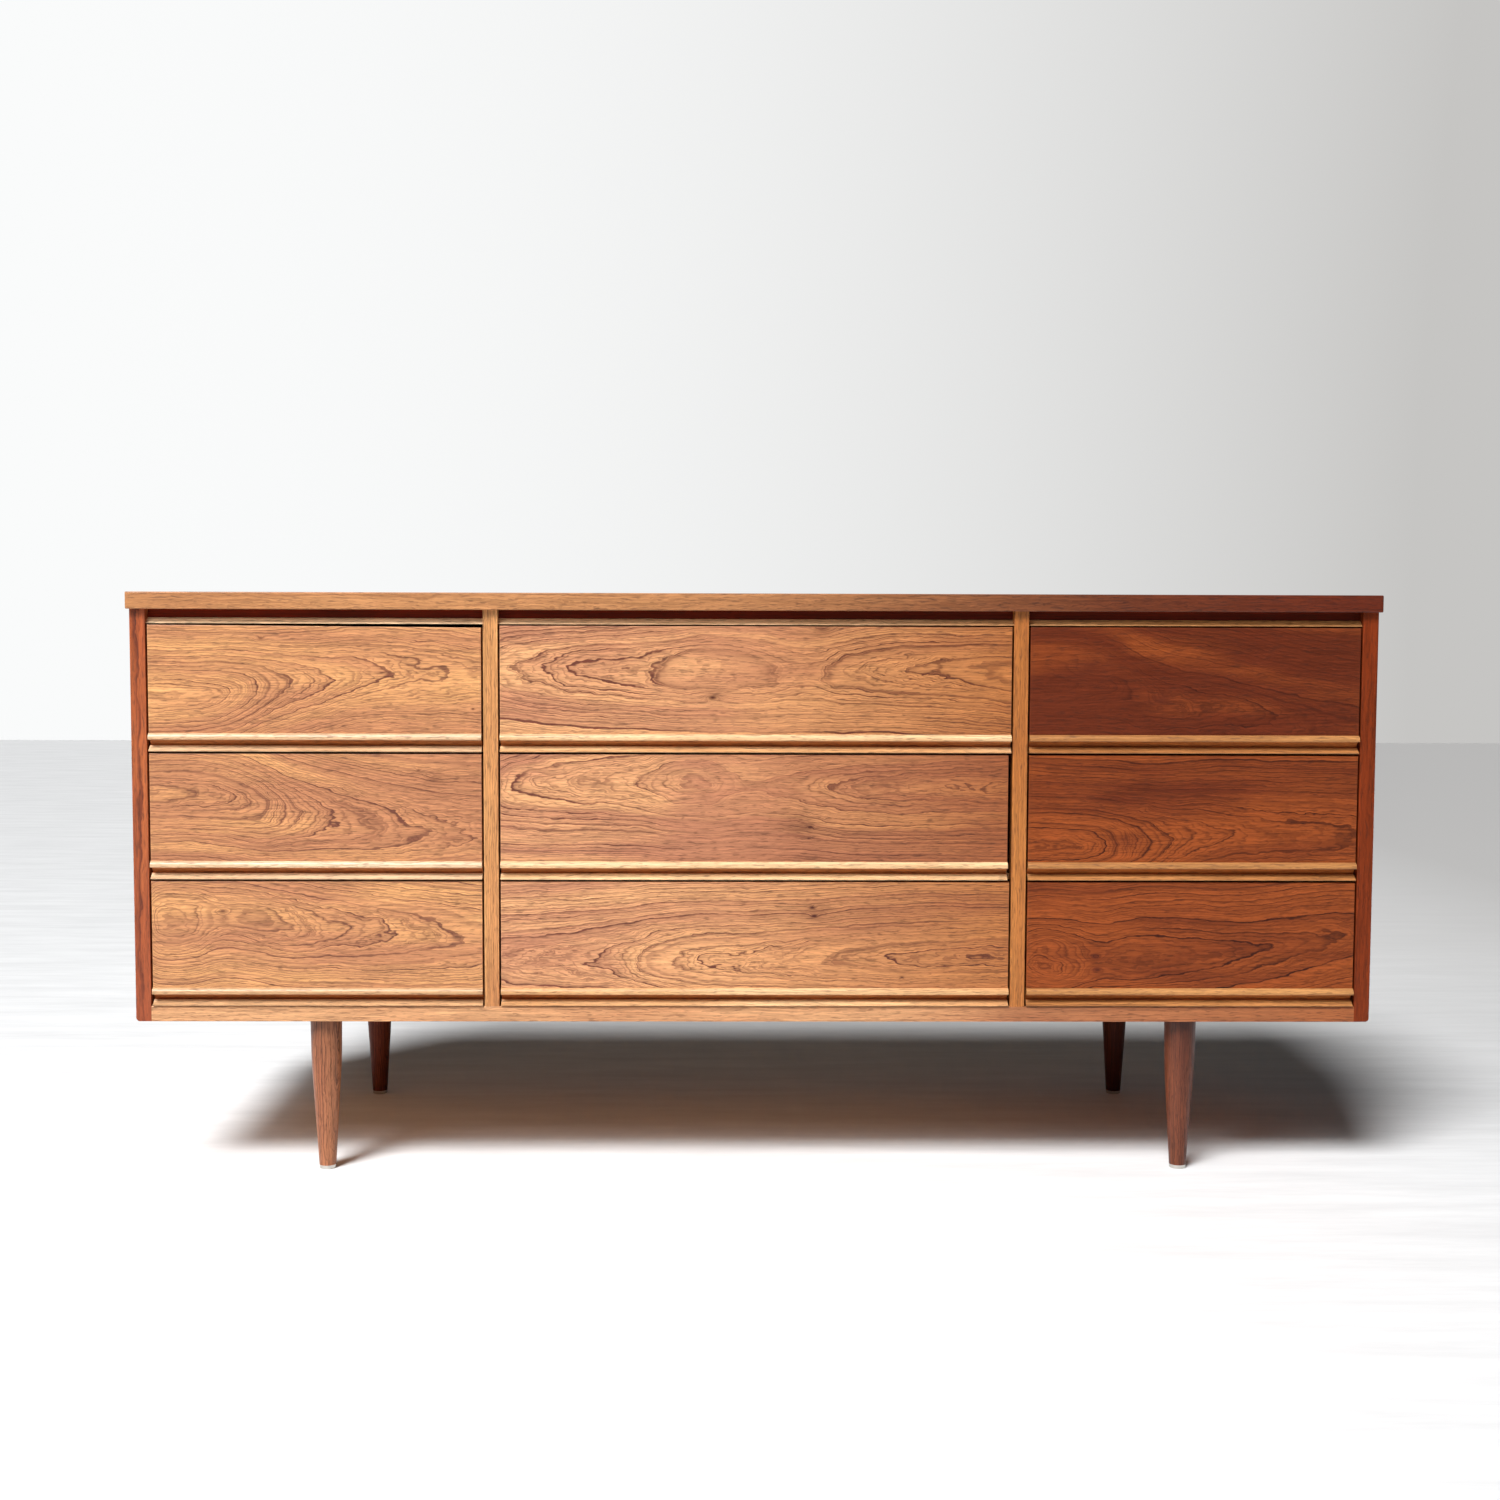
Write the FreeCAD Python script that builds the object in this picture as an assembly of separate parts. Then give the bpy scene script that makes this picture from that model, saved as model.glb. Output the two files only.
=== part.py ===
import FreeCAD, Part
import math
import os

from FreeCAD import Vector

# Low walnut dresser: three columns of three drawers in a case on four turned legs.
# Millimetres. X runs to the right, Y to the back and Z up from the floor.
# The origin is on the floor, under the middle of the case.

# Case
case_width = 1612.0
case_depth = 475.0
overall_height = 760.0
top_thickness = 22.0
top_side_overhang = 3.0
top_front_overhang = 8.0
side_thickness = 20.0
divider_thickness = 19.0
divider_offset = 343.0
bottom_thickness = 20.0
back_thickness = 6.0
edge_round = 1.5
small_round = 0.8
foot_corner_round = 5.0
tolerance = 1e-6

# Rails and bearers that carry the drawers
rail_levels = 4
rail_height = 7.5
rail_nose_height = 0.8
rail_setback = 5.0
rail_slope_depth = 7.5
rail_back = 62.0
rear_rail_front = 409.0
bearer_width = 20.0
top_reveal = 18.3
top_rail_front = 14.0
top_rail_thickness = 20.0
glue_block_length = 60.0
glue_block_width = 24.0

# Drawers
face_thickness = 18.0
face_side_gap = 2.5
face_top_gap = 2.0
pull_top = 24.5
pull_projection = 5.0
pull_bottom = 0.8
nose_top = 17.4
nose_bottom = 16.4
nose_setback = 0.4
cove_depth = 9.5
cove_bottom = 8.6
cove_sagitta = 2.8
lip_top = 8.2
lip_top_depth = 5.0
lip_nose = 2.0
lip_projection = 2.5
lip_round = 0.5
box_side_gap = 3.0
box_wall = 12.0
box_depth = 420.0
box_lift = 0.3
kicker_gap = 4.0
back_drop = 10.0
groove_height = 8.0
groove_depth = 5.0
tray_thickness = 5.0
stop_gap = 0.3
stop_size = Vector(25.0, 20.0, 6.0)
stop_inset = 70.0

# Legs and their hardware
leg_height = 202.0
leg_x = 565.0
leg_front_setback = 30.0
leg_spacing = 400.0
leg_top_radius = 20.6
leg_shoulder_drop = 58.0
leg_shoulder_radius = 19.7
leg_shoulder_blend = 25.0
leg_foot_radius = 11.0
glide_height = 5.0
glide_round = 1.5
glide_radius = 11.0
bolt_radius = 4.0
bolt_into_leg = 45.0
bolt_into_case = 16.0
nut_barrel_radius = 5.5
nut_flange_radius = 10.0
nut_flange_thickness = 1.5

# Screws that hold the back
screw_head_radius = 3.6
screw_head_thickness = 1.6
screw_shank_radius = 1.6
screw_length = 18.0
screws_along = 7
screw_edge_inset = 10.0

# Fronts are fitted by hand, so two of them differ a little from the rest
extra_right_gap = {"centre_middle": 3.0}
top_edge_drop = {"left_top": 2.6}

# Worked out from the sizes above
total_depth = case_depth + top_front_overhang
front_y = top_front_overhang - total_depth / 2
back_y = total_depth / 2
case_top = overall_height - top_thickness
case_bottom = leg_height
floor_of_case = case_bottom + bottom_thickness
inner_half = case_width / 2 - side_thickness
back_panel_front = back_y - back_thickness
rail_pitch = (case_top - floor_of_case - top_reveal) / (rail_levels - 1)
divider_half = divider_thickness / 2
top_rail_level = floor_of_case + rail_pitch * (rail_levels - 1)

# Each bay as its left and right limits between the uprights
bays = {
    "left": (-inner_half, -divider_offset - divider_half),
    "centre": (-divider_offset + divider_half, divider_offset - divider_half),
    "right": (divider_offset + divider_half, inner_half),
}
rows = {"bottom": 0, "middle": 1, "top": 2}


def box(x0, x1, y0, y1, z0, z1):
    """A block between its low and high limits, with y measured back from the case front."""
    return Part.makeBox(x1 - x0, y1 - y0, z1 - z0, Vector(x0, front_y + y0, z0))


def depth(world_y):
    """Distance back from the case front of a place given in the row frame."""
    return world_y - front_y


def rail_level(index):
    return floor_of_case + rail_pitch * index


def extrude_profile(edges, x0, x1):
    """A section drawn in the YZ plane at x0, pushed along X to x1."""
    face = Part.Face(Part.Wire(edges))
    return face.extrude(Vector(x1 - x0, 0, 0))


def lines_through(points):
    closed = points + points[:1]
    return [Part.makeLine(a, b) for a, b in zip(closed, closed[1:])]


def soften(solid, radius, wanted):
    """Rounds the straight edges of the solid that the test picks out."""
    picked = [edge for edge in solid.Edges if wanted(edge)]
    return solid.makeFillet(radius, picked)


def runs_along(edge, axis):
    step = edge.Vertexes[-1].Point - edge.Vertexes[0].Point
    return abs(abs(step.dot(axis)) - step.Length) < tolerance


def at_front(edge, front):
    return all(abs(v.Point.y - front) < tolerance for v in edge.Vertexes)


def save(name, solids):
    shape = solids[0] if len(solids) == 1 else Part.makeCompound(solids)
    shape.exportStep("parts/" + name + ".step")


def top_panel():
    half = case_width / 2 + top_side_overhang
    board = box(-half, half, -top_front_overhang, case_depth, case_top, overall_height)
    return soften(board, edge_round, lambda edge: not at_front(edge, back_y))


def side_panel(side):
    outer = side * case_width / 2
    inner = side * inner_half
    board = box(min(outer, inner), max(outer, inner), 0, case_depth, case_bottom, case_top)
    along_depth = Vector(0, 1, 0)

    def lower_outer_edge(edge):
        start = edge.Vertexes[0].Point
        on_corner = abs(start.x - outer) < tolerance and abs(start.z - case_bottom) < tolerance
        return on_corner and runs_along(edge, along_depth)

    board = soften(board, foot_corner_round, lower_outer_edge)
    upright = Vector(0, 0, 1)
    return soften(board, small_round, lambda edge: at_front(edge, front_y) and runs_along(edge, upright))


def divider(side):
    middle = side * divider_offset
    board = box(
        middle - divider_half, middle + divider_half, 0, depth(back_panel_front), floor_of_case, case_top
    )
    upright = Vector(0, 0, 1)
    return soften(board, small_round, lambda edge: at_front(edge, front_y) and runs_along(edge, upright))


def leg_places():
    """Name and centre of each leg, with y in the row frame."""
    front = front_y + leg_front_setback
    places = {}
    for row_name, y in (("front", front), ("back", front + leg_spacing)):
        for side_name, side in (("left", -1), ("right", 1)):
            places[row_name + "_" + side_name] = Vector(side * leg_x, y, 0)
    return places


def bottom_panel():
    board = box(-inner_half, inner_half, 0, depth(back_panel_front), case_bottom, floor_of_case)
    lengthwise = Vector(1, 0, 0)
    board = soften(board, small_round, lambda edge: at_front(edge, front_y) and runs_along(edge, lengthwise))
    for place in leg_places().values():
        hole_start = place + Vector(0, 0, case_bottom)
        seat_start = place + Vector(0, 0, floor_of_case - nut_flange_thickness)
        board = board.cut(Part.makeCylinder(nut_barrel_radius, bottom_thickness, hole_start))
        board = board.cut(Part.makeCylinder(nut_flange_radius, nut_flange_thickness, seat_start))
    return board


def back_panel():
    board = box(-inner_half, inner_half, depth(back_panel_front), case_depth, case_bottom, case_top)
    for place in screw_places():
        board = board.cut(back_screw(place))
    return board


def screw_places():
    """Where the screws of the back go: along its top and bottom edges and into the dividers."""
    reach = inner_half - screw_edge_inset
    middle_height = (case_bottom + case_top) / 2
    places = []
    for index in range(screws_along):
        x = -reach + 2 * reach * index / (screws_along - 1)
        places.append(Vector(x, back_y, case_bottom + screw_edge_inset))
    for x in (-divider_offset, divider_offset):
        for z in (middle_height, case_top - 2 * screw_edge_inset):
            places.append(Vector(x, back_y, z))
    return places


def back_screw(place):
    """A countersunk wood screw whose head lies flush with the outside of the back."""
    inward = Vector(0, -1, 0)
    head = Part.makeCone(
        screw_head_radius, screw_shank_radius, screw_head_thickness, place, inward
    )
    shank = Part.makeCylinder(screw_shank_radius, screw_length, place, inward)
    return head.fuse(shank)


def drilled_for_screws(board):
    for place in screw_places():
        board = board.cut(back_screw(place))
    return board


def top_rails():
    """Set-back boards that close the space above the highest front rails."""
    low = top_rail_level + rail_height
    back = top_rail_front + top_rail_thickness
    return [box(x0, x1, top_rail_front, back, low, case_top) for x0, x1 in bays.values()]


def front_rail(index, bay):
    """A thin rail. The highest one shows: its front slopes up and back from a low nose."""
    x0, x1 = bays[bay]
    low = rail_level(index)
    if index < rail_levels - 1:
        hidden_front = face_thickness + stop_gap
        return box(x0, x1, hidden_front, rail_back, low, low + rail_height)
    nose = front_y + rail_setback
    slope_top = nose + rail_slope_depth
    back = front_y + rail_back
    section = [
        Vector(x0, nose, low),
        Vector(x0, nose, low + rail_nose_height),
        Vector(x0, slope_top, low + rail_height),
        Vector(x0, back, low + rail_height),
        Vector(x0, back, low),
    ]
    return extrude_profile(lines_through(section), x0, x1)


def rear_rails():
    rails = []
    for index in range(rail_levels):
        low = rail_level(index)
        for x0, x1 in bays.values():
            rails.append(
                box(x0, x1, rear_rail_front, depth(back_panel_front), low, low + rail_height)
            )
    return rails


def bearers():
    """Strips at both sides of a bay: each carries the drawer above and holds down the one below."""
    strips = []
    for index in range(rail_levels):
        low = rail_level(index)
        high = low + rail_height
        for x0, x1 in bays.values():
            strips.append(box(x0, x0 + bearer_width, rail_back, rear_rail_front, low, high))
            strips.append(box(x1 - bearer_width, x1, rail_back, rear_rail_front, low, high))
    return strips


def top_glue_blocks():
    """Blocks in the back corners of each bay that tie the top to the highest rear rails."""
    low = top_rail_level + rail_height
    back = depth(back_panel_front)
    front = back - glue_block_width
    blocks = []
    for x0, x1 in bays.values():
        blocks.append(box(x0, x0 + glue_block_length, front, back, low, case_top))
        blocks.append(box(x1 - glue_block_length, x1, front, back, low, case_top))
    return blocks


def drawer_stops():
    """Small blocks on each front rail that the back of a closed drawer front meets."""
    front = face_thickness + stop_gap
    stops = []
    for row in rows.values():
        low = rail_level(row) + rail_height
        for x0, x1 in bays.values():
            for x in (x0 + stop_inset, x1 - stop_inset - stop_size.x):
                stops.append(
                    box(x, x + stop_size.x, front, front + stop_size.y, low, low + stop_size.z)
                )
    return stops


def leg(place):
    """A turned leg: nearly straight at the top, then an even taper to the foot."""
    top = leg_height
    shoulder_z = top - leg_shoulder_drop
    start = Vector(leg_top_radius, 0, top)
    shoulder = Vector(leg_shoulder_radius, 0, shoulder_z)
    foot = Vector(leg_foot_radius, 0, glide_height)
    above = shoulder + (start - shoulder).normalize() * leg_shoulder_blend
    below = shoulder + (foot - shoulder).normalize() * leg_shoulder_blend
    middle = (shoulder * 2 + above + below) * 0.25
    edges = [
        Part.makeLine(Vector(0, 0, top), start),
        Part.makeLine(start, above),
        Part.Arc(above, middle, below).toShape(),
        Part.makeLine(below, foot),
        Part.makeLine(foot, Vector(0, 0, glide_height)),
        Part.makeLine(Vector(0, 0, glide_height), Vector(0, 0, top)),
    ]
    face = Part.Face(Part.Wire(edges))
    turned = face.revolve(Vector(0, 0, 0), Vector(0, 0, 1), 360)
    hole = Part.makeCylinder(bolt_radius, bolt_into_leg, Vector(0, 0, top - bolt_into_leg))
    turned = turned.cut(hole)
    turned.translate(place)
    return turned


def hanger_bolt(place):
    start = place + Vector(0, 0, leg_height - bolt_into_leg)
    return Part.makeCylinder(bolt_radius, bolt_into_leg + bolt_into_case, start)


def flanged_nut(place):
    """A nut with a barrel in the bottom panel and a flange let in flush with its top."""
    barrel_start = place + Vector(0, 0, case_bottom)
    flange_start = place + Vector(0, 0, floor_of_case - nut_flange_thickness)
    barrel = Part.makeCylinder(nut_barrel_radius, bottom_thickness, barrel_start)
    flange = Part.makeCylinder(nut_flange_radius, nut_flange_thickness, flange_start)
    bore = Part.makeCylinder(bolt_radius, bolt_into_case, barrel_start)
    return barrel.fuse(flange).cut(bore)


def foot_glide(place):
    disc = Part.makeCylinder(glide_radius, glide_height, place)
    return soften(disc, glide_round, lambda edge: abs(edge.BoundBox.ZMax) < tolerance)


def face_limits(bay, row):
    """Left and right limits of a drawer front."""
    x0, x1 = bays[bay]
    extra = extra_right_gap.get(bay + "_" + row, 0.0)
    return x0 + face_side_gap, x1 - face_side_gap - extra


def drawer_face(bay, row):
    """The flat board of a drawer front, above its pull."""
    x0, x1 = face_limits(bay, row)
    low = rail_level(rows[row]) + pull_top
    high = rail_level(rows[row] + 1) - face_top_gap
    drop = top_edge_drop.get(bay + "_" + row, 0.0)
    outline = [
        Vector(x0, front_y, low),
        Vector(x1, front_y, low),
        Vector(x1, front_y, high - drop),
        Vector(x0, front_y, high),
    ]
    board = Part.Face(Part.Wire(lines_through(outline))).extrude(Vector(0, face_thickness, 0))

    def front_edge(edge):
        meets_pull = abs(edge.BoundBox.ZMax - low) < tolerance
        return at_front(edge, front_y) and not meets_pull

    return soften(board, small_round, front_edge)


def drawer_pull(bay, row):
    """The moulding along the foot of a drawer front: a bead, a cove for the fingers and a lip."""
    x0, x1 = face_limits(bay, row)
    level = rail_level(rows[row])

    def point(y, z):
        return Vector(x0, front_y + y, level + z)

    def bulged(start, end, sagitta):
        """An arc from start to end whose middle stands off the straight line between them."""
        across = (end - start).cross(Vector(-1, 0, 0)).normalize()
        return Part.Arc(start, (start + end) * 0.5 + across * sagitta, end).toShape()

    top_front = point(0, pull_top)
    nose_high = point(-pull_projection, nose_top)
    nose_low = point(nose_setback - pull_projection, nose_bottom)
    cove_foot = point(cove_depth, cove_bottom)
    lip_high = point(lip_top_depth, lip_top)
    lip_front = point(-lip_projection, lip_nose)
    lip_low = point(-lip_projection + lip_round, pull_bottom)
    back_low = point(face_thickness, pull_bottom)
    back_high = point(face_thickness, pull_top)
    crown_turn = math.radians(45)
    crown_height = pull_top - nose_top
    crown = point(
        -pull_projection * math.cos(crown_turn), nose_top + crown_height * math.sin(crown_turn)
    )
    edges = [
        Part.Arc(top_front, crown, nose_high).toShape(),
        Part.makeLine(nose_high, nose_low),
        bulged(nose_low, cove_foot, cove_sagitta),
        Part.makeLine(cove_foot, lip_high),
        bulged(lip_high, lip_front, lip_round),
        Part.makeLine(lip_front, lip_low),
        Part.makeLine(lip_low, back_low),
        Part.makeLine(back_low, back_high),
        Part.makeLine(back_high, top_front),
    ]
    return extrude_profile(edges, x0, x1)


def box_limits(bay):
    x0, x1 = bays[bay]
    return x0 + box_side_gap, x1 - box_side_gap


def tray(bay, row):
    """The thin bottom of a drawer, let into a groove in each side."""
    x0, x1 = box_limits(bay)
    reach = box_wall - groove_depth
    low = rail_level(rows[row]) + rail_height + box_lift + groove_height
    back = face_thickness + box_depth
    return box(x0 + reach, x1 - reach, face_thickness, back, low, low + tray_thickness)


def drawer_box(bay, row):
    """The two sides and the back of a drawer."""
    x0, x1 = box_limits(bay)
    low = rail_level(rows[row]) + rail_height + box_lift
    high = rail_level(rows[row] + 1) - kicker_gap
    back = face_thickness + box_depth
    groove = tray(bay, row)
    left = box(x0, x0 + box_wall, face_thickness, back, low, high).cut(groove)
    right = box(x1 - box_wall, x1, face_thickness, back, low, high).cut(groove)
    tray_top = low + groove_height + tray_thickness
    rear = box(x0 + box_wall, x1 - box_wall, back - box_wall, back, tray_top, high - back_drop)
    return [left, right, rear]


def build_case():
    save("top_panel", [top_panel()])
    save("side_panel_left", [side_panel(-1)])
    save("side_panel_right", [side_panel(1)])
    save("divider_left", [drilled_for_screws(divider(-1))])
    save("divider_right", [drilled_for_screws(divider(1))])
    save("bottom_panel", [drilled_for_screws(bottom_panel())])
    save("back_panel", [back_panel()])
    save("back_screws", [back_screw(place) for place in screw_places()])
    save("top_rails", top_rails())
    for index in range(rail_levels):
        save("front_rails_" + str(index + 1), [front_rail(index, bay) for bay in bays])
    save("rear_rails", rear_rails())
    save("bearers", bearers())
    save("top_glue_blocks", top_glue_blocks())
    save("drawer_stops", drawer_stops())


def build_legs():
    places = leg_places()
    for name, place in places.items():
        save("leg_" + name, [leg(place)])
    save("hanger_bolts", [hanger_bolt(place) for place in places.values()])
    save("flanged_nuts", [flanged_nut(place) for place in places.values()])
    save("foot_glides", [foot_glide(place) for place in places.values()])


def build_drawers():
    for bay in bays:
        for row in rows:
            name = "drawer_" + bay + "_" + row
            save(name + "_face", [drawer_face(bay, row)])
            save(name + "_pull", [drawer_pull(bay, row)])
            save(name + "_box", drawer_box(bay, row))
            save(name + "_tray", [tray(bay, row)])


os.makedirs("parts", exist_ok=True)
build_case()
build_legs()
build_drawers()
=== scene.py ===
import math

import bpy
from mathutils import Matrix, Vector


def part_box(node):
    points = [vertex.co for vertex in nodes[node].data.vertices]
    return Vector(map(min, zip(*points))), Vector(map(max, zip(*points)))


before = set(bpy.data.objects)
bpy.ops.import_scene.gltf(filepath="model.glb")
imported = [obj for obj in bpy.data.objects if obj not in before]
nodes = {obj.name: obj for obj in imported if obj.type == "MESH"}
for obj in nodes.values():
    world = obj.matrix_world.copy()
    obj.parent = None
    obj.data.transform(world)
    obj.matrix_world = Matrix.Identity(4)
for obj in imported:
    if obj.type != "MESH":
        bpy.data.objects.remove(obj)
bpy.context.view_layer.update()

mm = 0.001
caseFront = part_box("side_panel_left")[0].y
print("frame loaded:", len(nodes), "nodes")


# sRGB hex to the linear colour that the shaders take
def linear(hexColour):
    channels = []
    for start in (1, 3, 5):
        value = int(hexColour[start:start + 2], 16) / 255
        channels.append(value / 12.92 if value <= 0.04045 else ((value + 0.055) / 1.055) ** 2.4)
    return (*channels, 1.0)


# Adds a node and gives back one of its outputs. Inputs take a value, a hex colour or another
# node's output. curve fills a float curve, the other settings are the node's own.
def add(tree, kind, inputs=(), out=0, curve=None, **settings):
    made = tree.nodes.new("ShaderNode" + kind)
    for name, value in settings.items():
        setattr(made, name, value)
    for socket, value in (inputs if isinstance(inputs, dict) else dict(enumerate(inputs))).items():
        if isinstance(value, bpy.types.NodeSocket):
            tree.links.new(value, made.inputs[socket])
        elif value is not None:
            made.inputs[socket].default_value = linear(value) if isinstance(value, str) else value
    if curve:
        line = made.mapping.curves[0]
        line.points[0].location = curve[0]
        line.points[-1].location = curve[-1]
        for x, y in curve[1:-1]:
            line.points.new(x, y)
        made.mapping.update()
    return made.outputs[out] if len(made.outputs) else None


# camera: in front of the dresser, a little left of its middle, just below the height of its top
viewpoint = {"distance": 2.4365, "left": 0.0628, "height": 0.719, "turn": 0.012, "tilt": 0.066, "roll": 0.003,
             "lens": 45.26, "shift": 0.0133}
cameraData = bpy.data.cameras.new("camera")
cameraData.sensor_width = 36
cameraData.lens = viewpoint["lens"]
cameraData.shift_x = viewpoint["shift"]
cameraObject = bpy.data.objects.new("camera", cameraData)
bpy.context.scene.collection.objects.link(cameraObject)
cameraObject.matrix_world = (
    Matrix.Translation((-viewpoint["left"], caseFront - viewpoint["distance"], viewpoint["height"]))
    @ Matrix.Rotation(-viewpoint["turn"], 4, "Z")
    @ Matrix.Rotation(math.pi / 2 - viewpoint["tilt"], 4, "X")
    @ Matrix.Rotation(viewpoint["roll"], 4, "Z")
)
bpy.context.scene.camera = cameraObject
bpy.context.scene.view_settings.view_transform = "Standard"
print("camera set")


# walnut: what all the finishes of this wood share, worked out once in a group
walnutPattern = {
    "slowWarp": 0.0060,     # metres that the rings wander over a board's length
    "midWarp": 0.0026,      # the kinks near the tip of each arch
    "fineWarp": 0.0008,     # ragged edge of a single line
}
walnutInputs = {
    "Place": "Vector", "Centre": "Float", "Depth": "Float", "Swirl": "Float", "Knot": "Float",
    "Spacing": "Float", "Seed": "Float", "Light": "Color", "Brown": "Color", "Line": "Color",
    "LineStrength": "Float", "Browner": "Float",
}


def buildWalnutGroup():
    tree = bpy.data.node_groups.new("walnutWood", "ShaderNodeTree")
    for name, kind in walnutInputs.items():
        tree.interface.new_socket(name, in_out="INPUT", socket_type="NodeSocket" + kind)
    for name, kind in (("Colour", "Color"), ("Roughness", "Float"), ("Height", "Float")):
        tree.interface.new_socket(name, in_out="OUTPUT", socket_type="NodeSocket" + kind)
    given = tree.nodes.new("NodeGroupInput").outputs

    # every board is cut from its own stretch of the noise
    shift = add(tree, "VectorMath", {0: (1.7, 2.3, 3.1), "Scale": given["Seed"]}, operation="SCALE")
    place = add(tree, "VectorMath", (given["Place"], shift), operation="ADD")

    # rings wander slowly along the log, kink near the arches and have a ragged edge
    offset = None
    for squash, size in (
        ((3.5, 13, 13), walnutPattern["slowWarp"]),
        ((24, 60, 60), walnutPattern["midWarp"]),
        ((90, 240, 240), walnutPattern["fineWarp"]),
    ):
        stretched = add(tree, "VectorMath", (place, squash), operation="MULTIPLY")
        noise = add(tree, "TexNoise", {"Vector": stretched, "Scale": 1.0, "Detail": 1.5}, out="Color")
        centred = add(tree, "VectorMath", (noise, (0.5, 0.5, 0.5)), operation="SUBTRACT")
        bent = add(tree, "VectorMath", (centred, (0, 2 * size, 2 * size)), operation="MULTIPLY")
        offset = bent if offset is None else add(tree, "VectorMath", (offset, bent), operation="ADD")
    warped = add(tree, "VectorMath", (given["Place"], offset), operation="ADD")
    across = add(tree, "SeparateXYZ", (warped,), out="Y")
    through = across.node.outputs["Z"]
    fromCentre = add(tree, "Math", (across, given["Centre"]), operation="SUBTRACT")
    fromPith = add(tree, "Math", (through, given["Depth"]), operation="ADD")
    flat = add(tree, "CombineXYZ", (fromCentre, fromPith, 0.0))
    radius = add(tree, "VectorMath", (flat,), out="Value", operation="LENGTH")
    swirled = add(tree, "Math", (radius, given["Swirl"]), operation="ADD")

    # rings are closer in slow years: their count runs unevenly with the radius
    count = add(tree, "Math", (swirled, given["Spacing"]), operation="DIVIDE")
    seededCount = add(tree, "Math", (count, 0.31, given["Seed"]), operation="MULTIPLY_ADD")
    years = add(tree, "TexNoise", {"W": seededCount, "Scale": 1.0, "Detail": 1.0}, noise_dimensions="1D")
    unevenCount = add(tree, "Math", (years, 2.2, count), operation="MULTIPLY_ADD")
    part = add(tree, "Math", (unevenCount,), operation="FRACT")
    ring = add(tree, "Math", (unevenCount,), operation="FLOOR")
    ringSeed = add(tree, "Math", (ring, given["Seed"]), operation="ADD")
    ringChance = add(tree, "TexWhiteNoise", {"W": ringSeed}, noise_dimensions="1D")
    ringDark = add(tree, "MapRange", {"Value": ringChance, "From Min": 0.1, "To Min": 0.36})
    lateWood = add(tree, "FloatCurve", {"Value": part}, curve=[
        (0, 0.5), (0.05, 0.08), (0.42, 0.08), (0.74, 0.3), (0.86, 0.6), (0.93, 1.0), (1, 0.8)])
    breakPlace = add(tree, "VectorMath", (place, (9, 45, 45)), operation="MULTIPLY")
    breaks = add(tree, "TexNoise", {"Vector": breakPlace, "Scale": 1.0, "Detail": 2.0})
    kept = add(tree, "MapRange", {"Value": breaks, "From Min": 0.3, "From Max": 0.55, "To Min": 0.5})
    line = add(tree, "Math", (lateWood, ringDark), operation="MULTIPLY")
    # two or three weaker lines between the strong ones
    fineCount = add(tree, "Math", (unevenCount, 2.7), operation="MULTIPLY")
    finePart = add(tree, "Math", (fineCount,), operation="FRACT")
    fineLine = add(tree, "FloatCurve", {"Value": finePart}, curve=[
        (0, 0.3), (0.1, 0), (0.6, 0.1), (0.9, 1), (1, 0.6)])
    line = add(tree, "Math", (fineLine, 0.42, line), operation="MULTIPLY_ADD")
    line = add(tree, "Math", (line, kept), operation="MULTIPLY")
    line = add(tree, "Math", (line, given["LineStrength"]), operation="MULTIPLY", use_clamp=True)

    # broad changes between honey and brown, along the board and from year to year
    broadPlace = add(tree, "VectorMath", (place, (2.6, 15, 15)), operation="MULTIPLY")
    broad = add(tree, "TexNoise", {"Vector": broadPlace, "Scale": 1.0, "Detail": 3.0})
    slowCount = add(tree, "Math", (count, 0.13, given["Seed"]), operation="MULTIPLY_ADD")
    eras = add(tree, "TexNoise", {"W": slowCount, "Scale": 1.0, "Detail": 2.0}, noise_dimensions="1D")
    both = add(tree, "Math", (eras, 0.5, broad), operation="MULTIPLY_ADD")
    both = add(tree, "Math", (both, given["Browner"]), operation="ADD")
    both = add(tree, "Math", (ringChance, 0.08, both), operation="MULTIPLY_ADD")
    tone = add(tree, "MapRange", {"Value": both, "From Min": 0.59, "From Max": 1.03},
               interpolation_type="SMOOTHSTEP")

    # fibres and pores: real ones are 0.1 to 0.3 mm wide, drawn 1 to 2 mm wide so that they show
    fibrePlace = add(tree, "VectorMath", (warped, (11, 430, 430)), operation="MULTIPLY")
    fibre = add(tree, "TexNoise", {"Vector": fibrePlace, "Scale": 1.0, "Detail": 4.0, "Roughness": 0.72})
    porePlace = add(tree, "VectorMath", (warped, (62, 640, 640)), operation="MULTIPLY")
    poreNoise = add(tree, "TexNoise", {"Vector": porePlace, "Scale": 1.0, "Detail": 1.0})
    pore = add(tree, "MapRange", {"Value": poreNoise, "From Min": 0.56, "From Max": 0.68})

    base = add(tree, "Mix", {0: tone, 6: given["Light"], 7: given["Brown"]}, out=2, data_type="RGBA")
    lined = add(tree, "Mix", {0: line, 6: base, 7: given["Line"]}, out=2, data_type="RGBA")
    fibreShade = add(tree, "MapRange", {"Value": fibre, "From Min": 0.3, "From Max": 0.7,
                                        "To Min": 0.66, "To Max": 1.32})
    streaked = add(tree, "VectorMath", {0: lined, "Scale": fibreShade}, operation="SCALE")
    poreShare = add(tree, "Math", (pore, 0.45), operation="MULTIPLY")
    pored = add(tree, "Mix", {0: poreShare, 6: streaked, 7: "#3a1c10"}, out=2, data_type="RGBA")
    knotShare = add(tree, "Math", (given["Knot"], 0.85), operation="MULTIPLY", use_clamp=True)
    knotted = add(tree, "Mix", {0: knotShare, 6: pored, 7: "#4d1f14"}, out=2, data_type="RGBA")

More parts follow.
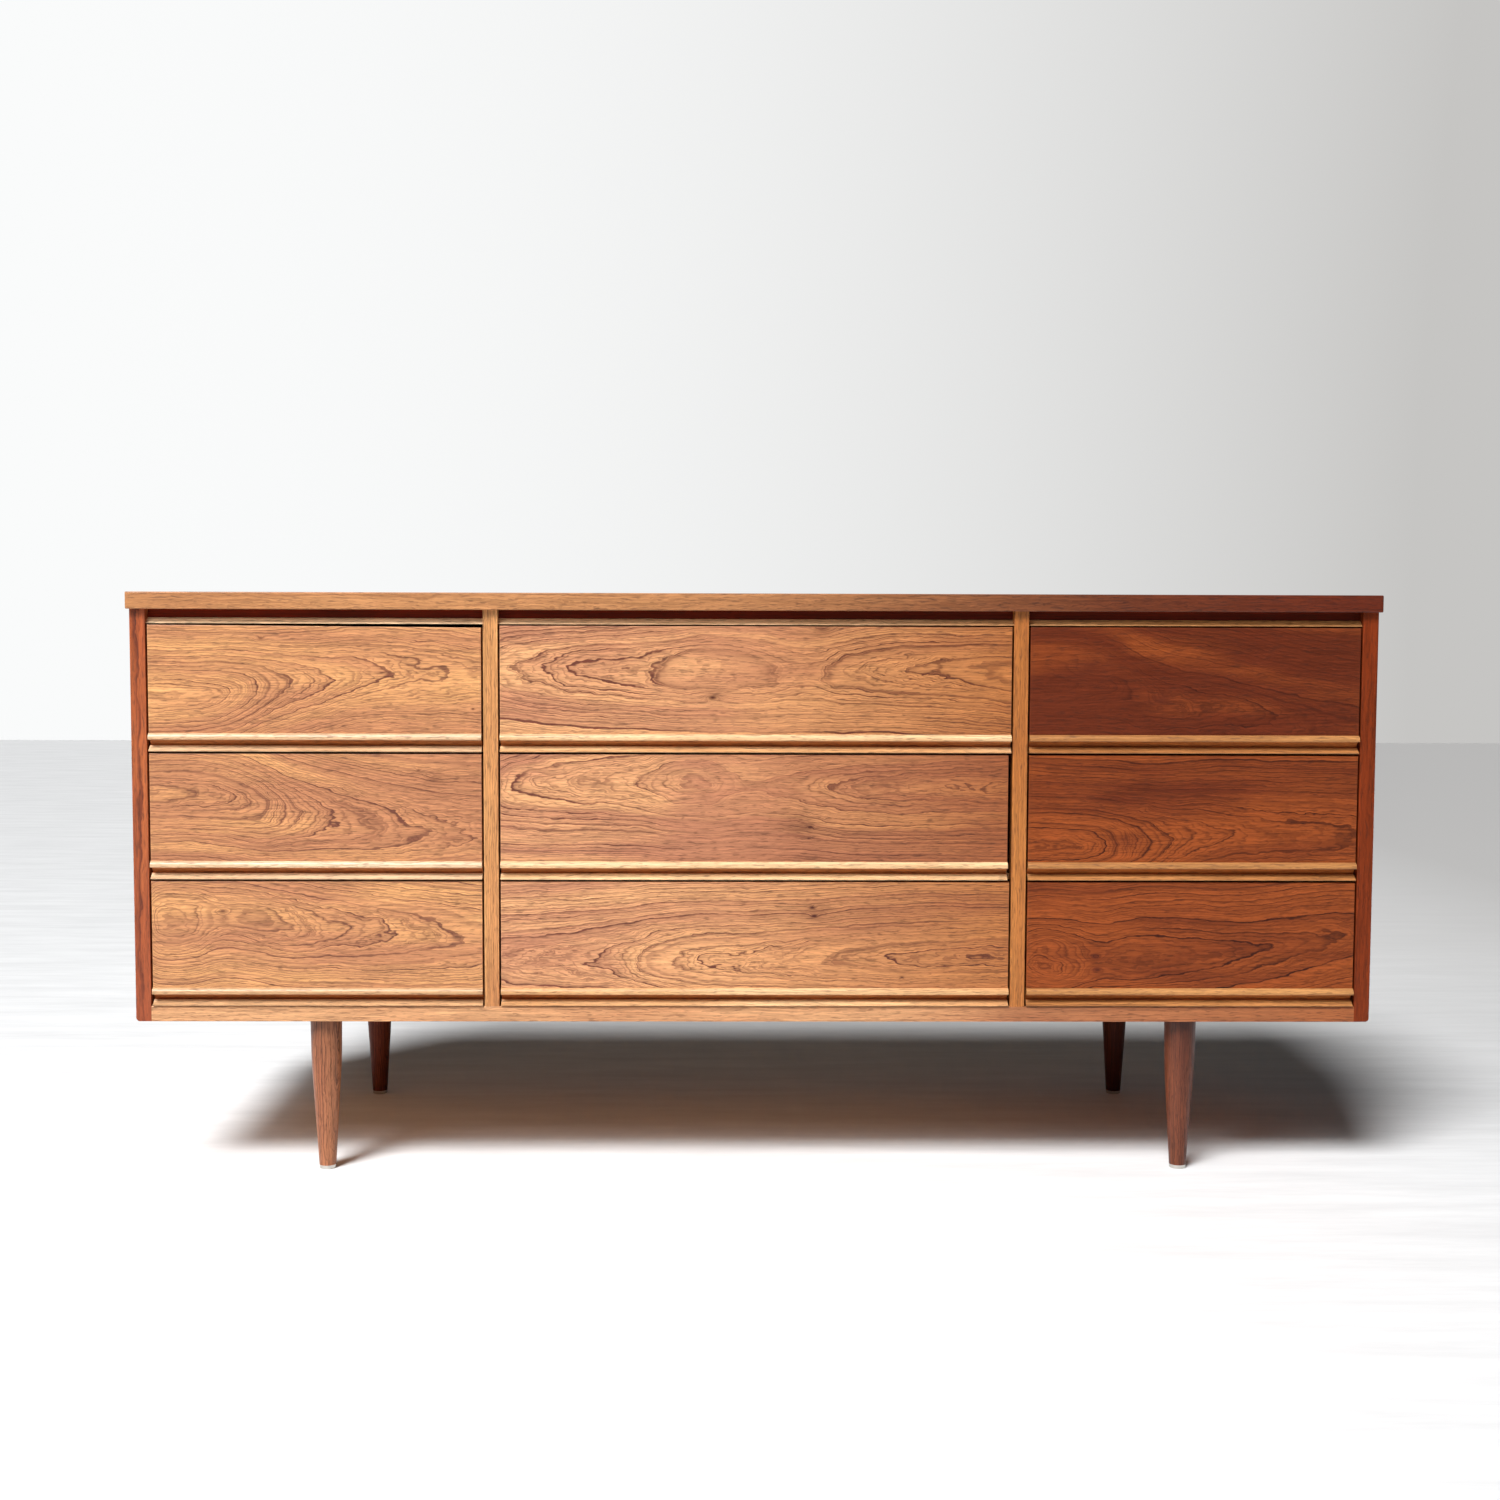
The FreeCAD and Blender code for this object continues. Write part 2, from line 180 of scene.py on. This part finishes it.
    # lacquer sinks into the pores, so they are duller and lower than the fibres between them
    dull = add(tree, "Math", (pore, 0.22, 0.3), operation="MULTIPLY_ADD")
    roughness = add(tree, "Math", (fibre, 0.16, dull), operation="MULTIPLY_ADD")
    raised = add(tree, "Math", (fibre, 0.35, 1.0), operation="MULTIPLY_ADD")
    lowered = add(tree, "Math", (pore, -0.8, raised), operation="MULTIPLY_ADD")
    height = add(tree, "Math", (line, -0.15, lowered), operation="MULTIPLY_ADD")
    result = tree.nodes.new("NodeGroupOutput")
    for name, value in (("Colour", knotted), ("Roughness", roughness), ("Height", height)):
        tree.links.new(value, result.inputs[name])
    return tree


walnutGroup = buildWalnutGroup()

# Satin lacquer over walnut: warm brown with a soft, even shine, brighter where a window meets it
lacquer = {"specular": 0.3, "coat": 0.12, "coatRoughness": 0.3, "bump": 0.12, "bumpDistance": 0.0004,
           "edge": 0.0025}


# One board or veneer leaf of walnut. start is a corner, order says which row axes run along the
# grain, across it and into the wood.
def walnut(name, start, order, look, figure=None, size=(1.0, 1.0)):
    material = bpy.data.materials.new(name)
    material.use_nodes = True
    tree = material.node_tree
    tree.nodes.clear()
    where = add(tree, "TexCoord", out="Object")
    fromStart = add(tree, "VectorMath", (where, start), operation="SUBTRACT")
    split = add(tree, "SeparateXYZ", (fromStart,)).node.outputs
    along, across, into = (split[axis.upper()] for axis in order)
    centre, depth = look.get("centre", -0.12), look.get("depth", 0.03)
    strength = look.get("lineStrength", 1.1)
    browner = look.get("browner", 0.0)
    swirl = knotDark = None
    if figure:
        share = add(tree, "Math", (along, size[0]), operation="DIVIDE")
        # the middle of the arches wanders across the board: 0 to 1 on the curve is -0.5 to 1.5 of its width
        wander = add(tree, "FloatCurve", {"Value": share}, curve=figure["centre"])
        centre = add(tree, "Math", (wander, 2 * size[1], -0.5 * size[1]), operation="MULTIPLY_ADD")
        rise = add(tree, "FloatCurve", {"Value": share}, curve=figure["depth"])
        depth = add(tree, "Math", (rise, 0.1), operation="MULTIPLY")
        if "faint" in figure:
            clear = add(tree, "FloatCurve", {"Value": share}, curve=figure["faint"])
            strength = add(tree, "Math", (clear, strength), operation="MULTIPLY")
            # fewer dark lines would leave a pale patch, so the wood between them is browner there
            browner = add(tree, "Math", (clear, -0.28, browner + 0.28), operation="MULTIPLY_ADD")
        for u, v, width, push, dark in figure.get("knots", ()):
            dx = add(tree, "Math", (along, u * size[0]), operation="SUBTRACT")
            dx = add(tree, "Math", (dx, 2.0 * width * mm), operation="DIVIDE")  # twice as long as high
            dz = add(tree, "Math", (across, v * size[1]), operation="SUBTRACT")
            dz = add(tree, "Math", (dz, width * mm), operation="DIVIDE")
            away = add(tree, "CombineXYZ", (dx, dz, 0.0))
            squared = add(tree, "VectorMath", (away, away), out="Value", operation="DOT_PRODUCT")
            fall = add(tree, "Math", (squared, -1.0), operation="MULTIPLY")
            bell = add(tree, "Math", (fall,), operation="EXPONENT")
            swirl = add(tree, "Math", (bell, push * mm, swirl or 0.0), operation="MULTIPLY_ADD")
            tight = add(tree, "Math", (bell, 2.0), operation="POWER")
            knotDark = add(tree, "Math", (tight, dark, knotDark or 0.0), operation="MULTIPLY_ADD")
    placed = add(tree, "CombineXYZ", (along, across, into))
    wood = add(tree, "Group", {
        "Place": placed, "Centre": centre, "Depth": depth, "Swirl": swirl or 0.0, "Knot": knotDark or 0.0,
        "Spacing": look.get("spacing", 0.0038), "Seed": look["seed"], "Light": look["light"],
        "Brown": look["brown"], "Line": look["line"], "LineStrength": strength, "Browner": browner,
    }, node_tree=walnutGroup)
    out = wood.node.outputs
    colour = out["Colour"]
    for axis, length, wanted in ((along, size[0], "shadeAlong"), (across, size[1], "shadeAcross")):
        if wanted in look:
            # painted shade, darker along or across the piece where less light falls: the shade tint
            # multiplies the wood's own colour, so the grain still shows through it
            tones = zip(linear(look["shadeTone"])[:3], linear(look["light"]), linear(look["brown"]))
            shadeTint = [2 * shadeTone / (light + brown) for shadeTone, light, brown in tones]
            share = add(tree, "Math", (axis, length), operation="DIVIDE")
            amount = add(tree, "FloatCurve", {"Value": share}, curve=look[wanted])
            shaded = add(tree, "VectorMath", (colour, shadeTint), operation="MULTIPLY")
            colour = add(tree, "Mix", {0: amount, 6: colour, 7: shaded}, out=2, data_type="RGBA")
    # hands and cloths have rubbed the edges a little paler and duller; the paler edges are also a painted
    # highlight where the rounded edges catch the light
    rounded = add(tree, "Bevel", {"Radius": lacquer["edge"]}, samples=4)
    flat = add(tree, "NewGeometry", out="Normal")
    level = add(tree, "VectorMath", (rounded, flat), out="Value", operation="DOT_PRODUCT")
    patchy = add(tree, "TexNoise", {"Vector": where, "Scale": 60.0, "Detail": 3.0})
    edge = add(tree, "MapRange", {"Value": level, "From Min": 0.995, "From Max": 0.93})
    rubbedAndHighlit = add(tree, "MapRange", {"Value": patchy, "From Min": 0.42, "From Max": 0.62, "To Max": 0.55})
    rubbedAndHighlit = add(tree, "Math", (rubbedAndHighlit, edge), operation="MULTIPLY")
    palerAndHighlit = add(tree, "VectorMath", {0: colour, "Scale": 1.5}, operation="SCALE")
    colour = add(tree, "Mix", {0: rubbedAndHighlit, 6: colour, 7: palerAndHighlit}, out=2, data_type="RGBA")
    dull = add(tree, "Math", (rubbedAndHighlit, 0.25, out["Roughness"]), operation="MULTIPLY_ADD")
    bump = add(tree, "Bump", {"Strength": lacquer["bump"], "Distance": lacquer["bumpDistance"],
                              "Height": out["Height"]})
    surface = add(tree, "BsdfPrincipled", {
        "Base Color": colour, "Roughness": dull, "Normal": bump,
        "Specular IOR Level": lacquer["specular"] * look.get("shine", 1.0), "Coat IOR": 1.5,
        "Coat Weight": lacquer["coat"] * look.get("shine", 1.0), "Coat Roughness": lacquer["coatRoughness"],
    })
    add(tree, "OutputMaterial", {"Surface": surface})
    return material


def finish(nodeName, material):
    piece = nodes[nodeName]
    piece.data.materials.clear()
    piece.data.materials.append(material)


# drawer fronts. centre: middle line of the arches, 0.25 is the foot of the board and 0.75 its top.
# depth: tenths of a metre from the pith, arches point to where it grows.
# knots: place along and up the board, width in mm, push of the rings in mm, darkness.
frontFigures = {
    "left_top": {
        "centre": [(0, 0.42), (0.2, 0.425), (0.35, 0.46), (0.5, 0.5), (0.66, 0.54), (0.86, 0.535), (1, 0.52)],
        "depth": [(0, 0.25), (0.19, 0.29), (0.26, 0.35), (0.37, 0.49), (0.48, 0.57), (0.66, 0.65),
                  (0.86, 0.7), (1, 0.72)],
        "knots": [(0.34, 0.88, 3, 3, 0.8), (0.975, 0.23, 1.6, 1, 1.2)],
    },
    "left_middle": {
        "centre": [(0, 0.56), (0.2, 0.55), (0.35, 0.5), (0.5, 0.46), (0.69, 0.415), (0.88, 0.395), (1, 0.39)],
        "depth": [(0, 0.27), (0.215, 0.315), (0.3, 0.36), (0.42, 0.5), (0.52, 0.58), (0.66, 0.63),
                  (0.88, 0.69), (1, 0.71)],
        "knots": [(0.81, 0.85, 2.2, 2, 0.9), (0.86, 0.76, 10, 2, 0.35), (0.35, 0.06, 3, 2, 0.6)],
    },
    "left_bottom": {
        "centre": [(0, 0.57), (0.1, 0.57), (0.25, 0.59), (0.4, 0.55), (0.57, 0.53), (0.82, 0.5), (1, 0.49)],
        "depth": [(0, 0.47), (0.05, 0.4), (0.12, 0.42), (0.2, 0.5), (0.3, 0.49), (0.4, 0.5), (0.57, 0.56),
                  (0.82, 0.62), (1, 0.66)],
        "knots": [(0.215, 0.72, 3.5, 5, 1.0), (0.08, 0.66, 14, 4, 0.4), (0.83, 0.5, 12, -3, 0.3)],
    },
    "centre_top": {
        "seed": 113.3,
        "centre": [(0, 0.56), (0.3, 0.55), (0.45, 0.55), (0.6, 0.53), (0.75, 0.55), (1, 0.525)],
        "depth": [(0, 0.66), (0.04, 0.63), (0.09, 0.6), (0.15, 0.56), (0.29, 0.52), (0.4, 0.47), (0.5, 0.5),
                  (0.6, 0.56), (0.68, 0.5), (0.8, 0.43), (1, 0.37)],
        "faint": [(0, 1), (0.3, 1), (0.46, 0.5), (0.56, 0.5), (0.7, 1), (1, 1)],
        "knots": [(0.415, 0.34, 4, 6, 1.0), (0.42, 0.36, 10, 3, 0.25), (0.63, 0.98, 8, 4, 0.7)],
    },
    "centre_middle": {
        "centre": [(0, 0.595), (0.3, 0.62), (0.55, 0.6), (1, 0.6)],
        "depth": [(0, 0.63), (0.04, 0.59), (0.15, 0.535), (0.26, 0.49), (0.38, 0.38), (0.5, 0.49),
                  (0.55, 0.47), (0.7, 0.38), (1, 0.33)],
        "faint": [(0, 1), (0.28, 1), (0.4, 0.45), (0.5, 0.45), (0.64, 1), (1, 0.8)],
        "knots": [(0.61, 0.325, 2.4, 3, 1.2), (0.607, 0.22, 2, 2, 1.1), (0.59, 0.33, 18, 4, 0.5)],
    },
    "centre_bottom": {
        "seed": 141.9,
        "centre": [(0, 0.395), (0.3, 0.39), (0.5, 0.385), (0.7, 0.4), (1, 0.4)],
        "depth": [(0, 0.66), (0.145, 0.61), (0.22, 0.57), (0.31, 0.48), (0.375, 0.43), (0.51, 0.39),
                  (0.7, 0.345), (1, 0.3)],
        "knots": [(0.612, 0.76, 3, 3, 1.0), (0.616, 0.68, 3, 3, 1.1), (0.62, 0.72, 14, 4, 0.4),
                  (0.79, 0.1, 2.2, 2, 1.1)],
    },
    "right_top": {
        "centre": [(0, 0.5), (0.2, 0.49), (0.4, 0.4), (0.6, 0.37), (0.8, 0.3), (1, 0.25)],
        "depth": [(0, 0.5), (0.12, 0.5), (0.2, 0.54), (0.3, 0.6), (0.45, 0.66), (0.7, 0.72), (1, 0.76)],
        "faint": [(0, 0.35), (0.25, 0.4), (0.35, 0.75), (1, 0.75)],
        "knots": [(0.17, 0.62, 15, 8, 0.55), (0.225, 0.46, 6, -7, 0.0), (0.4, 0.33, 9, 3, 0.6)],
    },
    "right_middle": {
        "centre": [(0, 0.33), (0.2, 0.33), (0.35, 0.34), (0.55, 0.38), (0.79, 0.385), (1, 0.39)],
        "depth": [(0, 0.24), (0.2, 0.3), (0.34, 0.45), (0.43, 0.54), (0.55, 0.585), (0.79, 0.63), (1, 0.675)],
        "knots": [(0.35, 0.52, 4, -4, 0.0), (0.3, 0.2, 16, 3, 0.5)],
    },
    "right_bottom": {
        "centre": [(0, 0.385), (0.2, 0.385), (0.4, 0.41), (0.65, 0.415), (0.91, 0.48), (1, 0.5)],
        "depth": [(0, 0.43), (0.07, 0.39), (0.14, 0.44), (0.21, 0.51), (0.3, 0.5), (0.45, 0.52), (0.65, 0.56),
                  (0.91, 0.6), (1, 0.62)],
        "knots": [(0.21, 0.3, 4, 5, 1.0), (0.215, 0.18, 5, 4, 0.9), (0.1, 0.3, 12, 5, 0.2)],
    },
}
# painted light and shade: one walnut in three copies, a lit one on the left, a shaded one on the right, and a
# centre one painted darker towards its right end
frontTonesLitToShaded = {
    "left": {"light": "#d89e65", "brown": "#b67b55", "line": "#683a2a", "lineStrength": 1.1},
    "centre": {"light": "#dba270", "brown": "#b77c5c", "line": "#673628", "lineStrength": 1.05,
               "shadeTone": "#9c5a2c", "shadeAlong": [(0, 0), (0.33, 0.12), (0.66, 0.5), (1, 0.9)]},
    "right": {"light": "#924820", "brown": "#602814", "line": "#34140b", "lineStrength": 0.9, "shine": 0.4},
}
# some leaves are browner than their neighbours, some lighter
frontBrowner = {
    "left_top": -0.02, "left_middle": 0.16,
    "centre_top": -0.08, "centre_middle": 0.11, "centre_bottom": -0.08,
    "right_top": 0.04, "right_middle": -0.1, "right_bottom": -0.08,
}


def finishDrawerFronts():
    for seed, (drawer, figure) in enumerate(frontFigures.items()):
        low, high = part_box(f"drawer_{drawer}_face")
        look = {**frontTonesLitToShaded[drawer.split("_")[0]], "seed": figure.get("seed", 3.7 * seed + 1.0),
                "browner": frontBrowner.get(drawer, 0.0)}
        size = (high.x - low.x, high.z - low.z)
        material = walnut(f"lacqueredFiguredWalnut_{drawer}", low, "xzy", look, figure, size)
        finish(f"drawer_{drawer}_face", material)
    print("drawer fronts finished")


# boards with plain grain: start corner comes from the node, order says how the grain runs
plainBoards = {
    # painted shade: the top darkens towards its right end, where less light falls
    "top_panel": ("xyz", {"light": "#bb8455", "brown": "#9e663f", "line": "#673b24", "shadeTone": "#581e0b",
                          "shadeAlong": [(0, 0), (0.35, 0.12), (0.6, 0.48), (0.75, 0.82), (0.85, 0.94),
                                        (1, 1)]}),
    "side_panel_left": ("zyx", {"light": "#b86736", "brown": "#934625", "line": "#5c2614"}),
    # painted shade: the right side panel is a darker copy of the left one, as the light comes from the left
    "side_panel_right": ("zyx", {"light": "#7d3112", "brown": "#61250b", "line": "#391708", "shine": 0.4}),
    "divider_left": ("zxy", {"light": "#d39a60", "brown": "#bb7c4b", "line": "#7c4c29"}),
    # painted shade: the right divider is a darker copy of the left one
    "divider_right": ("zxy", {"light": "#bb7638", "brown": "#9d5a29", "line": "#66361a"}),
    # painted shade: the bottom darkens towards its right end
    "bottom_panel": ("xzy", {"light": "#d09c6e", "brown": "#b87e56", "line": "#7a4b2f", "shadeTone": "#8a3e10",
                             "shadeAlong": [(0, 0), (0.6, 0.03), (0.75, 0.5), (1, 0.85)]}),
    # painted shade: the top rails are near black, for the shade in the recess under the top
    "top_rails": ("xzy", {"light": "#7b230a", "brown": "#581808", "line": "#300c03", "shine": 0.2}),
}
# sloped rail over each bay, painted pale as a painted highlight where it catches the light, with painted
# shade that darkens it to the right with the top
railTonesLitToShaded = {"light": "#fbdcb4", "brown": "#ecc497", "line": "#a87a52", "shadeTone": "#d8995c",
             "shadeAlong": [(0, 0), (0.35, 0.15), (0.55, 0.35), (0.75, 0.85), (1, 0.95)]}
# painted light: the pulls are painted paler than the fronts, as a painted highlight where their tops catch
# the light, lit on the left and shaded on the right
mouldingTonesLitToShaded = {
    "left": {"light": "#dcbc98", "brown": "#c1976d", "line": "#805537"},
    "centre": {"light": "#e3bf91", "brown": "#c99766", "line": "#825331"},
    "right": {"light": "#bd8650", "brown": "#a06a3b", "line": "#613b1e"},
}
# painted shade: the cove of the pull is darker than the bead above it and the lip below, as the bead shades
# it.
# The lowest pulls are a little browner, because the floor lights them more.
coveShade = {"shadeTone": "#bb6932", "shadeAcross": [(0, 0.12), (0.28, 0.12), (0.34, 0.95), (0.5, 0.9), (0.61, 0.75),
                                          (0.68, 0.04), (1, 0.04)]}
pullBrowner = {"left_bottom": 0.4, "centre_bottom": 0.15, "right_bottom": 0.15, "right_top": 0.1}


def finishPlainBoards():
    for seed, (name, (order, tones)) in enumerate(plainBoards.items()):
        low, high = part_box(name)
        extent = [getattr(high - low, axis) for axis in order]
        look = {**tones, "seed": 2.9 * seed + 31.0, "spacing": 0.0035, "lineStrength": 0.65}
        finish(name, walnut(f"lacqueredWalnut_{name}", low, order, look, size=extent))
    for level in range(1, 5):
        name = f"front_rails_{level}"
        low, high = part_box(name)
        look = {**railTonesLitToShaded, "seed": 61.0 + level, "spacing": 0.003, "lineStrength": 0.5}
        size = (high.x - low.x, high.z - low.z)
        finish(name, walnut(f"lacqueredSolidWalnut_{name}", low, "xzy", look, size=size))
    for seed, drawer in enumerate(frontFigures):
        name = f"drawer_{drawer}_pull"
        low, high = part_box(name)
        look = {**mouldingTonesLitToShaded[drawer.split("_")[0]], **coveShade, "seed": 71.0 + 1.3 * seed, "spacing": 0.003,
                "lineStrength": 0.5, "browner": pullBrowner.get(drawer, 0.0)}
        size = (high.x - low.x, high.z - low.z)
        finish(name, walnut(f"lacqueredSolidWalnut_{name}", low, "xzy", look, size=size))
    print("case boards, rails and pulls finished")


# turned legs: painted shade makes the front right one and the back ones darker copies of the front left one;
# the back ones also have a duller finish
legTonesLitToShaded = {
    "front_left": {"light": "#b0714c", "brown": "#8c4f34", "line": "#512b1a"},
    "front_right": {"light": "#763c22", "brown": "#582919", "line": "#33170d"},
    "back_left": {"light": "#82391d", "brown": "#5d2713", "line": "#36170a", "shine": 0.4},
    "back_right": {"light": "#572412", "brown": "#3d170b", "line": "#240e06", "shine": 0.3},
}


def finishLegs():
    for seed, (name, tones) in enumerate(legTonesLitToShaded.items()):
        low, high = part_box(f"leg_{name}")
        middle = (low + high) / 2
        # painted shadow: each leg is darker towards its top, where the case shades it
        look = {**tones, "seed": 91.0 + 2.1 * seed, "centre": 0.035, "depth": 0.02, "spacing": 0.0032,
                "shadeTone": "#33160c", "shadeAlong": [(0, 0.12), (0.35, 0), (0.7, 0.1), (1, 0.5)]}
        material = walnut(f"turnedWalnut_leg_{name}", Vector((middle.x, middle.y, 0)), "zxy", look,
                          size=(high.z, 1.0))
        finish(f"leg_{name}", material)
    print("legs finished")


# plain inside woods: pale maple for boxes and bearers, birch plywood for the trays. Past backFrom
# the grain turns from front-to-back to side-to-side, as in the back board of a drawer box.
def paleWood(name, light, dark, order, backFrom=None):
    material = bpy.data.materials.new(name)
    material.use_nodes = True
    tree = material.node_tree
    tree.nodes.clear()
    where = add(tree, "TexCoord", out="Object")
    ways = {"x": ((4, 260, 260), (1.2, 14, 14)), "y": ((260, 4, 260), (14, 1.2, 14))}
    placed = []
    for main, turned in zip(ways[order], ways["x"]):
        squash = main
        if backFrom is not None:
            depth = add(tree, "SeparateXYZ", (where,), out="Y")
            behind = add(tree, "Math", (depth, backFrom), operation="GREATER_THAN")
            squash = add(tree, "Mix", {0: behind, 4: main, 5: turned}, out=1, data_type="VECTOR")
        placed.append(add(tree, "VectorMath", (where, squash), operation="MULTIPLY"))
    fibre = add(tree, "TexNoise", {"Vector": placed[0], "Scale": 1.0, "Detail": 4.0, "Roughness": 0.6})
    cloudy = add(tree, "TexNoise", {"Vector": placed[1], "Scale": 1.0, "Detail": 3.0})
    both = add(tree, "Math", (fibre, cloudy), operation="ADD")
    tone = add(tree, "MapRange", {"Value": both, "From Min": 0.75, "From Max": 1.25})
    colour = add(tree, "Mix", {0: tone, 6: light, 7: dark}, out=2, data_type="RGBA")
    rough = add(tree, "MapRange", {"Value": fibre, "To Min": 0.5, "To Max": 0.68})
    bump = add(tree, "Bump", {"Strength": 0.15, "Distance": 0.0005, "Height": fibre})
    surface = add(tree, "BsdfPrincipled", {"Base Color": colour, "Roughness": rough, "Normal": bump})
    add(tree, "OutputMaterial", {"Surface": surface})
    return material


# metal: fine scratches in every direction, so the shine breaks up a little
def metal(name, colour, roughness):
    material = bpy.data.materials.new(name)
    material.use_nodes = True
    tree = material.node_tree
    tree.nodes.clear()
    where = add(tree, "TexCoord", out="Object")
    grime = add(tree, "TexNoise", {"Vector": where, "Scale": 350.0, "Detail": 4.0})
    rough = add(tree, "MapRange", {"Value": grime, "To Min": roughness * 0.7, "To Max": roughness * 1.5})
    shade = add(tree, "MapRange", {"Value": grime, "To Min": 0.82, "To Max": 1.1})
    tinted = add(tree, "VectorMath", {0: linear(colour)[:3], "Scale": shade}, operation="SCALE")
    bump = add(tree, "Bump", {"Strength": 0.08, "Distance": 0.0002, "Height": grime})
    surface = add(tree, "BsdfPrincipled", {"Base Color": tinted, "Metallic": 1.0, "Roughness": rough,
                                           "Normal": bump})
    add(tree, "OutputMaterial", {"Surface": surface})
    return material


def finishHiddenParts():
    maple = paleWood("planedMaple", "#d9b98c", "#b98f5f", "y")
    mapleAcross = paleWood("planedMapleAcross", "#d9b98c", "#b98f5f", "x")
    ply = paleWood("birchPlywood", "#cfa877", "#b0875a", "x")
    for name in ("bearers", "drawer_stops", "top_glue_blocks"):
        finish(name, maple)
    finish("rear_rails", mapleAcross)
    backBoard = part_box("drawer_left_top_box")[1].y - 12.5 * mm  # the box's back is 12 mm thick
    boxMaple = paleWood("planedMapleBox", "#d9b98c", "#b98f5f", "y", backBoard)
    for drawer in frontFigures:
        finish(f"drawer_{drawer}_box", boxMaple)
        finish(f"drawer_{drawer}_tray", ply)
    # peeled veneer on the back: broad wandering figure, no lacquer
    low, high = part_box("back_panel")
    figure = {"centre": [(0, 0.46), (0.3, 0.5), (0.65, 0.47), (1, 0.52)],
              "depth": [(0, 0.15), (0.2, 0.3), (0.45, 0.6), (0.7, 0.35), (1, 0.1)]}
    look = {"light": "#dcb083", "brown": "#c6996b", "line": "#8d6342", "seed": 171.0, "spacing": 0.009,
            "lineStrength": 0.6, "shine": 0.2}
    size = (high.x - low.x, high.z - low.z)
    finish("back_panel", walnut("peeledVeneerPlywood", low, "xzy", look, figure, size))
    nickel = metal("polishedNickel", "#c9c6c0", 0.16)
    zinc = metal("zincPlatedSteel", "#a9a9ab", 0.32)
    finish("foot_glides", nickel)
    for name in ("back_screws", "hanger_bolts", "flanged_nuts"):
        finish(name, zinc)
    print("inside woods and metal finished")


finishDrawerFronts()
finishPlainBoards()
finishLegs()
finishHiddenParts()


# boards painted pale and worn in streaks, with painted shade that darkens them towards the back and the
# right, where the daylight fades.
floorLook = {"paint": "#ebeced", "worn": "#dadbdc", "shadeFar": "#bcbbba", "roughness": 0.55, "halfWidth": 9.0}


def buildFloor():
    mesh = bpy.data.meshes.new("floor")
    half = floorLook["halfWidth"]
    corners = [(-half, -half, 0), (half, -half, 0), (half, half, 0), (-half, half, 0)]
    mesh.from_pydata(corners, [], [(0, 1, 2, 3)])
    floor = bpy.data.objects.new("floor", mesh)
    bpy.context.scene.collection.objects.link(floor)
    material = bpy.data.materials.new("paintedFloorBoards")
    material.use_nodes = True
    tree = material.node_tree
    tree.nodes.clear()
    where = add(tree, "TexCoord", out="Object")
    stretched = add(tree, "VectorMath", (where, (3, 22, 1)), operation="MULTIPLY")
    streaks = add(tree, "TexNoise", {"Vector": stretched, "Scale": 1.0, "Detail": 5.0, "Roughness": 0.7})
    tone = add(tree, "MapRange", {"Value": streaks, "From Min": 0.35, "From Max": 0.75})
    colour = add(tree, "Mix", {0: tone, 6: floorLook["paint"], 7: floorLook["worn"]}, out=2, data_type="RGBA")
    sideways = add(tree, "SeparateXYZ", (where,)).node.outputs
    # painted shade: share of the darker tone, rising towards the right and the back
    right = add(tree, "MapRange", {"Value": sideways["X"], "From Min": 0.2, "From Max": 2.2})
    back = add(tree, "MapRange", {"Value": sideways["Y"], "From Min": -0.3, "From Max": 1.6, "To Min": 0.3})
    shadeShare = add(tree, "Math", (right, back), operation="MULTIPLY")
    colour = add(tree, "Mix", {0: shadeShare, 6: colour, 7: floorLook["shadeFar"]}, out=2, data_type="RGBA")
    surface = add(tree, "BsdfPrincipled", {"Base Color": colour, "Roughness": floorLook["roughness"]})
    add(tree, "OutputMaterial", {"Surface": surface})
    mesh.materials.append(material)


# pale room, painted darker to the right as painted shade where the daylight falls off. Its own light is weak,
# so gaps and the floor under the case stay dark.
room = {"left": "#fafbfb", "right": "#c6c5c3", "falloff": 2.2, "light": 0.055}


def buildWorld():
    world = bpy.data.worlds.new("paleRoom")
    world.use_nodes = True
    tree = world.node_tree
    tree.nodes.clear()
    direction = add(tree, "TexCoord", out="Generated")
    sideways = add(tree, "SeparateXYZ", (direction,), out="X")
    share = add(tree, "MapRange", {"Value": sideways, "From Min": -0.35, "From Max": 0.35})
    share = add(tree, "Math", (share, room["falloff"]), operation="POWER")
    backdrop = add(tree, "Mix", {0: share, 6: room["left"], 7: room["right"]}, out=2, data_type="RGBA")
    seen = add(tree, "Background", {"Color": backdrop, "Strength": 1.0})
    lit = add(tree, "Background", {"Color": "#ffffff", "Strength": room["light"]})
    direct = add(tree, "LightPath", out="Is Camera Ray")
    both = add(tree, "MixShader", (direct, lit, seen))
    add(tree, "OutputWorld", {"Surface": both})
    bpy.context.scene.world = world


# soft key light from the upper left, and a window on the left: metres and watts
keyLight = {"from": (-0.28, -0.50, 0.80), "softness": 0.35, "strength": 4.1}
window = {"place": (-2.0, -2.3, 2.8), "facing": (-0.5, 0, 0.45), "size": (1.5, 1.6), "power": 78}


def addLight(name, data, direction, axis):
    lamp = bpy.data.objects.new(name, data)
    lamp.rotation_mode = "QUATERNION"
    lamp.rotation_quaternion = direction.to_track_quat(axis, "Y")
    bpy.context.scene.collection.objects.link(lamp)
    return lamp


def buildLights():
    sun = bpy.data.lights.new("key", "SUN")
    sun.energy = keyLight["strength"]
    sun.angle = keyLight["softness"]
    addLight("key", sun, Vector(keyLight["from"]), "Z")
    pane = bpy.data.lights.new("windowLeft", "AREA")
    pane.shape = "RECTANGLE"
    pane.size, pane.size_y = window["size"]
    pane.energy = window["power"]
    lamp = addLight("windowLeft", pane, Vector(window["facing"]) - Vector(window["place"]), "-Z")
    lamp.location = window["place"]


buildFloor()
buildWorld()
buildLights()
print("floor and lights built")
